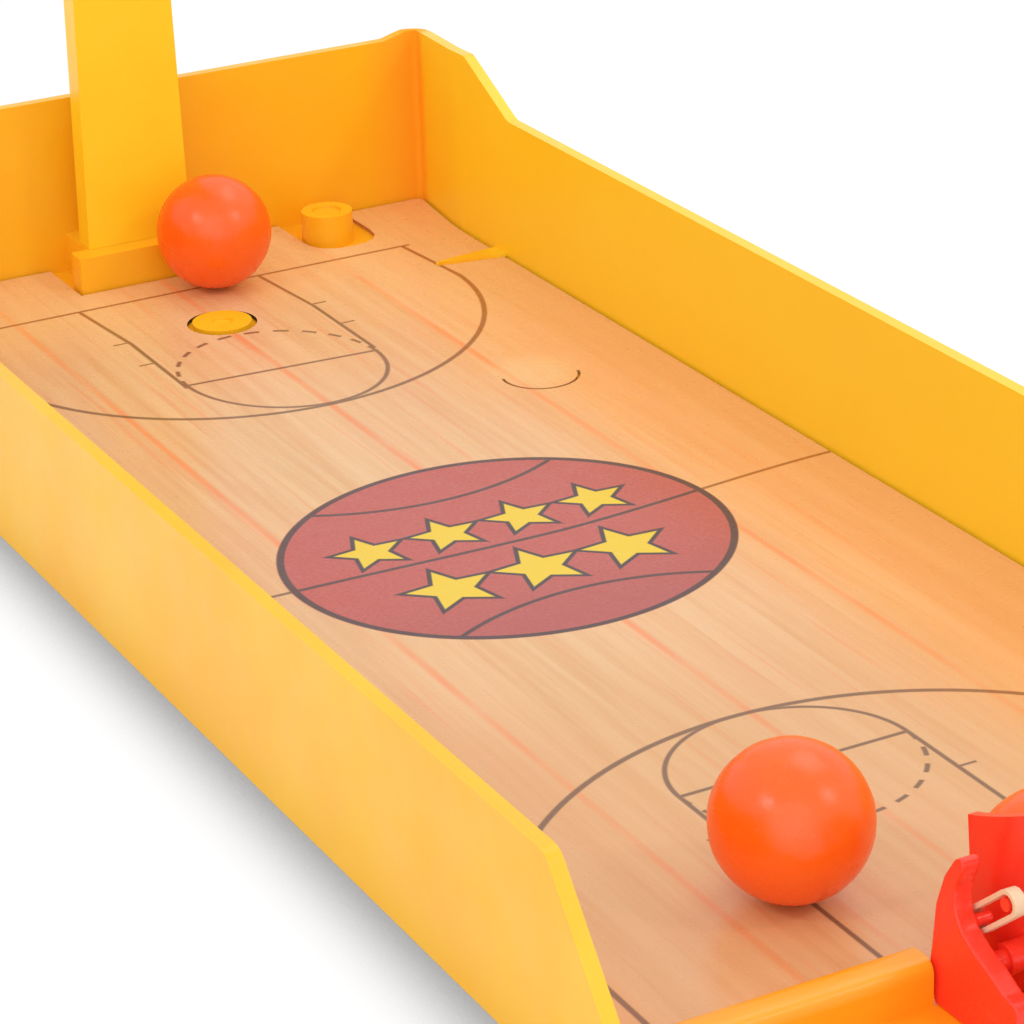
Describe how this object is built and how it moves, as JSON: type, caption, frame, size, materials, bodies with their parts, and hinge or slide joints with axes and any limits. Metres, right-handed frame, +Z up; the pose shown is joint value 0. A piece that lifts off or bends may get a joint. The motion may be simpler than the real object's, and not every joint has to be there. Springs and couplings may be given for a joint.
{
  "type": "tabletop basketball game",
  "caption": "Tabletop basketball game: a long open court tray with a printed court card, a finger-flick launcher, a plug-in hoop stand with backboard and net, and small balls.",
  "frame": {"origin": "on the tray's flat underside, below the centre spot of the court", "axes": "+Z up, +Y from the player to the hoop, +X to the player's right"},
  "size_m": [0.1254, 0.3199, 0.16],
  "materials": {
    "yellow_plastic": "bright yellow-orange injection-moulded plastic, satin to gloss",
    "court_print": "printed card with a light wood plank pattern and dark court lines, thin gloss laminate",
    "red_plastic": "bright red injection-moulded plastic, glossy",
    "rubber_band": "natural latex rubber band",
    "board_print": "printed white card with a red border and target square",
    "net_plastic": "soft white moulded plastic net",
    "ball_orange": "orange hollow plastic ball, satin"
  },
  "bodies": {
    "tray": {"tray": "yellow_plastic", "court_card": "court_print", "launcher_bracket": "red_plastic", "return_band_left": "rubber_band", "return_band_right": "rubber_band"},
    "lever": {"launcher_lever": "red_plastic"},
    "hoop_stand": {"post": "yellow_plastic", "backboard": "yellow_plastic", "backboard_card": "board_print", "hoop_rim": "red_plastic", "hoop_net": "net_plastic"},
    "ball_far": {"ball_far": "ball_orange"},
    "ball_near": {"ball_near": "ball_orange"},
    "ball_loaded": {"ball_loaded": "ball_orange"}
  },
  "joints": [
    {"name": "lever_hinge", "type": "hinge", "parent": "tray", "child": "lever", "pos_m": [0, -0.1422, 0.009], "axis": [1, 0, 0], "range_deg": [0, 40], "stiffness_Nm_per_rad": 0.012, "springref_deg": -28.65, "deforming": ["return_band_left", "return_band_right"]},
    {"name": "stand_lift", "type": "slide", "parent": "tray", "child": "hoop_stand", "axis": [0, 0, 1], "range_m": [0, 0.012]},
    {"name": "ball_far_lift", "type": "slide", "parent": "tray", "child": "ball_far", "axis": [0, 0, 1], "range_m": [0, 0.03]},
    {"name": "ball_near_lift", "type": "slide", "parent": "tray", "child": "ball_near", "axis": [0, 0, 1], "range_m": [0, 0.03]},
    {"name": "ball_loaded_lift", "type": "slide", "parent": "lever", "child": "ball_loaded", "axis": [0, 0, 1], "range_m": [0, 0.026]}
  ]
}
